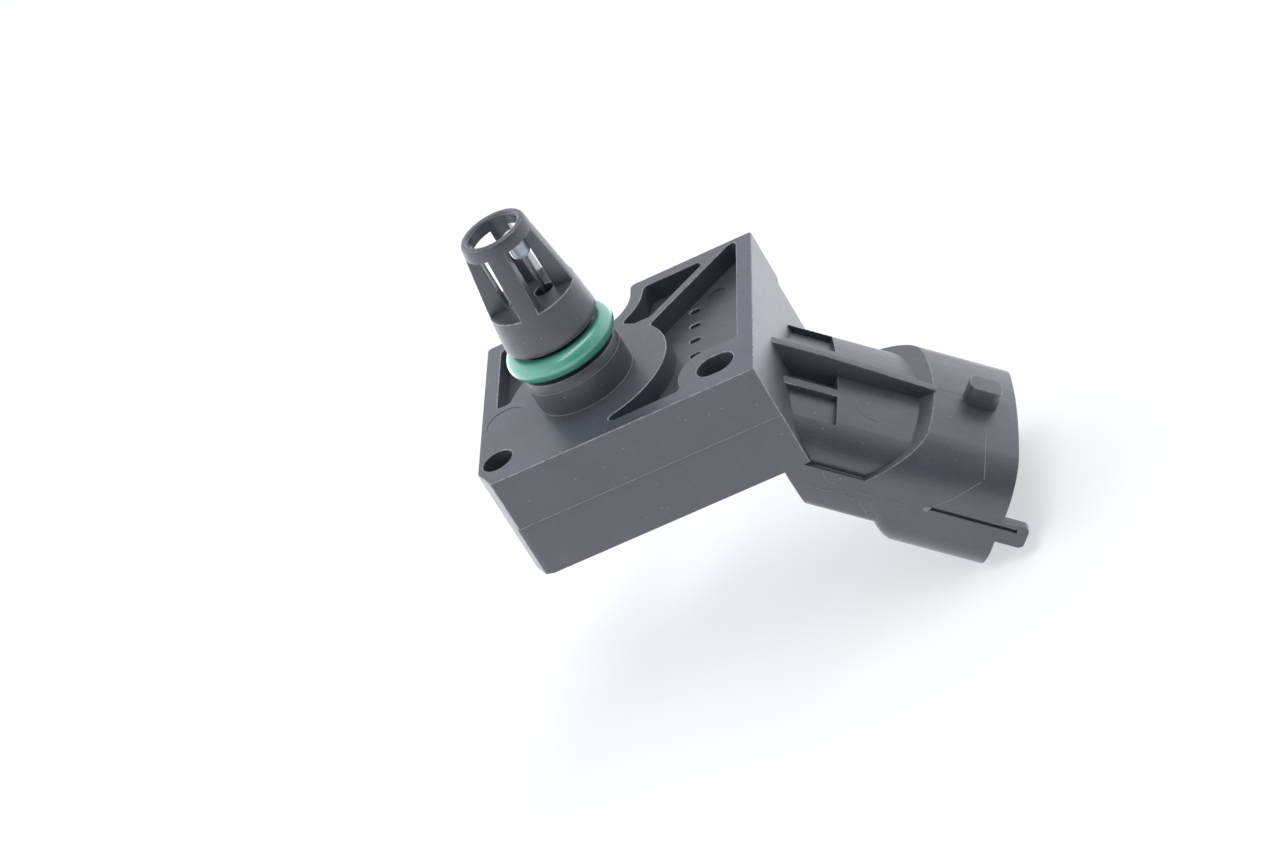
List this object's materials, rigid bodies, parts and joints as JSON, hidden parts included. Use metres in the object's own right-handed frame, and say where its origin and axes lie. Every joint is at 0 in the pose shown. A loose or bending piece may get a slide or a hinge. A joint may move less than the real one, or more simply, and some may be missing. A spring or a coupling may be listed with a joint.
{
  "type": "manifold pressure sensor",
  "caption": "Black block sensor with a caged pressure port and green seal ring on its flange face and an oval plug socket set at an angle.",
  "frame": {"origin": "on the axis of the port, in the plane of the flange face that is screwed to the manifold", "axes": "+Z along the port towards its open tip, +X towards the side with the plug socket, +Y towards the edge with the round notch"},
  "size_m": [0.081, 0.045, 0.0862],
  "materials": {
    "housing_plastic": "fine-grained black moulding",
    "cover_plastic": "fine-grained black moulding",
    "seal_rubber": "smooth green rubber",
    "adhesive": "cured sealant",
    "tinned_contact": "matt tin plating",
    "plated_steel": "nickel plating",
    "gold_pin": "thin gold plating",
    "silicon": "polished silicon",
    "clear_glass": "ground glass",
    "seal_glass": "fused glass",
    "gel": "soft clear gel",
    "bead_coating": "smooth dipped coating",
    "lead_wire": "dull wire",
    "capacitor_ceramic": "ceramic"
  },
  "bodies": {
    "root": {"housing": "housing_plastic", "seal_ring": "seal_rubber", "rear_cover": "cover_plastic", "cover_adhesive": "adhesive", "terminal_1": "tinned_contact", "terminal_2": "tinned_contact", "terminal_3": "tinned_contact", "terminal_4": "tinned_contact", "sensor_header": "plated_steel", "header_cap": "plated_steel", "pressure_tube": "plated_steel", "tube_seal": "adhesive", "glass_base": "clear_glass", "sensor_chip": "silicon", "protective_gel": "gel", "header_pin_1": "gold_pin", "header_pin_2": "gold_pin", "header_pin_3": "gold_pin", "pin_glass_1": "seal_glass", "pin_glass_2": "seal_glass", "pin_glass_3": "seal_glass", "thermistor_bead": "bead_coating", "thermistor_lead_1": "lead_wire", "thermistor_lead_2": "lead_wire", "lead_potting": "adhesive", "capacitor_1": "capacitor_ceramic", "capacitor_2": "capacitor_ceramic"}
  },
  "joints": []
}
